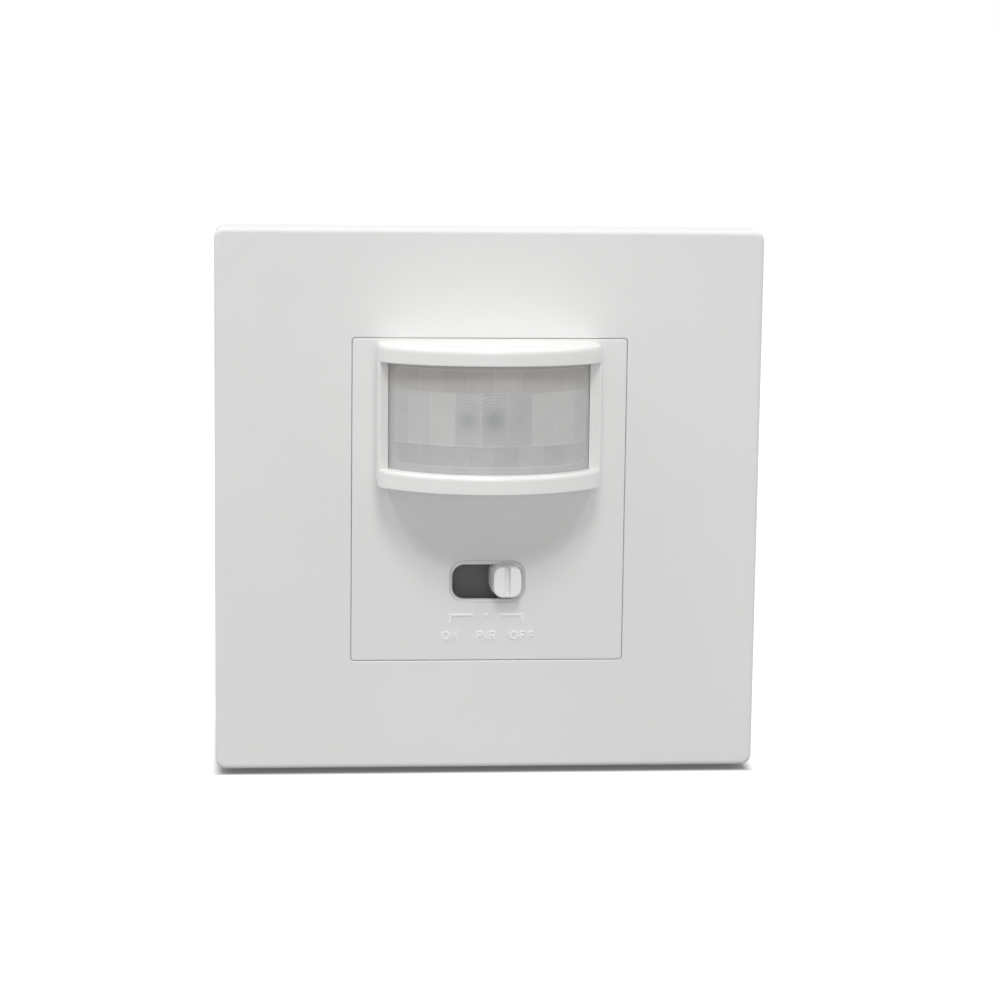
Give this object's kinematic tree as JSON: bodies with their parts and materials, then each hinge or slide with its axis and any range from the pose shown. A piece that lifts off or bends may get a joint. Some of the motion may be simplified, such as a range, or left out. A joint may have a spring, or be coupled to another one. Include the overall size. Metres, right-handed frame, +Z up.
{
  "type": "infrared motion sensor",
  "caption": "Square wall-mounted infrared motion sensor with a hooded curved lens, a bulging chin and a sliding mode switch below it.",
  "frame": {"origin": "on the wall plane, midway between the two fixing slots", "axes": "+X to the right seen from the room, +Z up, and the room lies towards -Y"},
  "size_m": [0.086, 0.0586, 0.086],
  "materials": {
    "white_plastic": "fine satin",
    "bezel_plastic": "polished",
    "lens_plastic": "milky, with moulded lens rings",
    "knob_plastic": "satin",
    "strap_steel": "zinc plated",
    "screw_steel": "zinc plated",
    "lid_plastic": "satin",
    "housing_plastic": "satin",
    "circuit_board": "solder mask",
    "can_metal": "drawn and plated",
    "filter_glass": "dark coated silicon",
    "ceramic_carrier": "fired",
    "sensor_ceramic": "lacquered",
    "lamp_resin": "clear red",
    "chip_plastic": "moulded",
    "capacitor_ceramic": "fired",
    "resistor_ceramic": "printed film",
    "trimmer_plastic": "moulded",
    "dial_plastic": "moulded",
    "contact_brass": "plain",
    "header_plastic": "moulded",
    "relay_plastic": "moulded",
    "film_plastic": "moulded",
    "sleeve_plastic": "shrunk sleeve",
    "diode_plastic": "moulded with a band",
    "fuse_ceramic": "lacquered",
    "varistor_ceramic": "lacquered",
    "terminal_plastic": "moulded",
    "slider_plastic": "moulded",
    "shutter_plastic": "satin"
  },
  "bodies": {
    "housing": {"front_cover": "white_plastic", "lens_bezel": "bezel_plastic", "fresnel_lens": "lens_plastic", "mounting_plate": "strap_steel", "plate_screws": "screw_steel", "housing_screws": "screw_steel", "board_screws": "screw_steel", "terminal_screws": "screw_steel", "inner_cover": "lid_plastic", "rear_housing": "housing_plastic", "slide_switch_frame": "can_metal", "slide_switch_base": "chip_plastic", "sensor_board": "circuit_board", "power_board": "circuit_board", "pir_sensor_header": "can_metal", "pir_sensor_can": "can_metal", "pir_sensor_window": "filter_glass", "pir_sensor_element": "ceramic_carrier", "daylight_sensor": "sensor_ceramic", "status_led": "lamp_resin", "detector_chip": "chip_plastic", "voltage_regulator": "chip_plastic", "chip_capacitors": "capacitor_ceramic", "chip_resistors": "resistor_ceramic", "time_trimmer_base": "trimmer_plastic", "lux_trimmer_base": "trimmer_plastic", "header_body": "header_plastic", "header_pins": "contact_brass", "relay": "relay_plastic", "dropper_capacitor": "film_plastic", "filter_capacitors": "sleeve_plastic", "rectifier_diodes": "diode_plastic", "fuse_resistor": "fuse_ceramic", "varistor": "varistor_ceramic", "terminal_live": "terminal_plastic", "terminal_neutral": "terminal_plastic", "terminal_load": "terminal_plastic", "terminal_clamps": "contact_brass"},
    "mode_slider": {"mode_knob": "knob_plastic", "slot_shutter": "shutter_plastic", "slide_switch_actuator": "slider_plastic", "slide_switch_contact": "contact_brass"},
    "time_dial": {"time_trimmer_dial": "dial_plastic"},
    "lux_dial": {"lux_trimmer_dial": "dial_plastic"},
    "surround": {"surround_plate": "white_plastic"}
  },
  "joints": [
    {"name": "mode_slide", "type": "slide", "parent": "housing", "child": "mode_slider", "axis": [1, 0, 0], "range_m": [-0.006, 0]},
    {"name": "time_trimmer_turn", "type": "hinge", "parent": "housing", "child": "time_dial", "pos_m": [-0.0075, -0.0033, -0.0286], "axis": [0, -1, 0], "range_deg": [-105, 105]},
    {"name": "lux_trimmer_turn", "type": "hinge", "parent": "housing", "child": "lux_dial", "pos_m": [0.0075, -0.0033, -0.0286], "axis": [0, -1, 0], "range_deg": [-105, 105]},
    {"name": "surround_pull", "type": "slide", "parent": "housing", "child": "surround", "axis": [0, -1, 0], "range_m": [0, 0.02]}
  ]
}
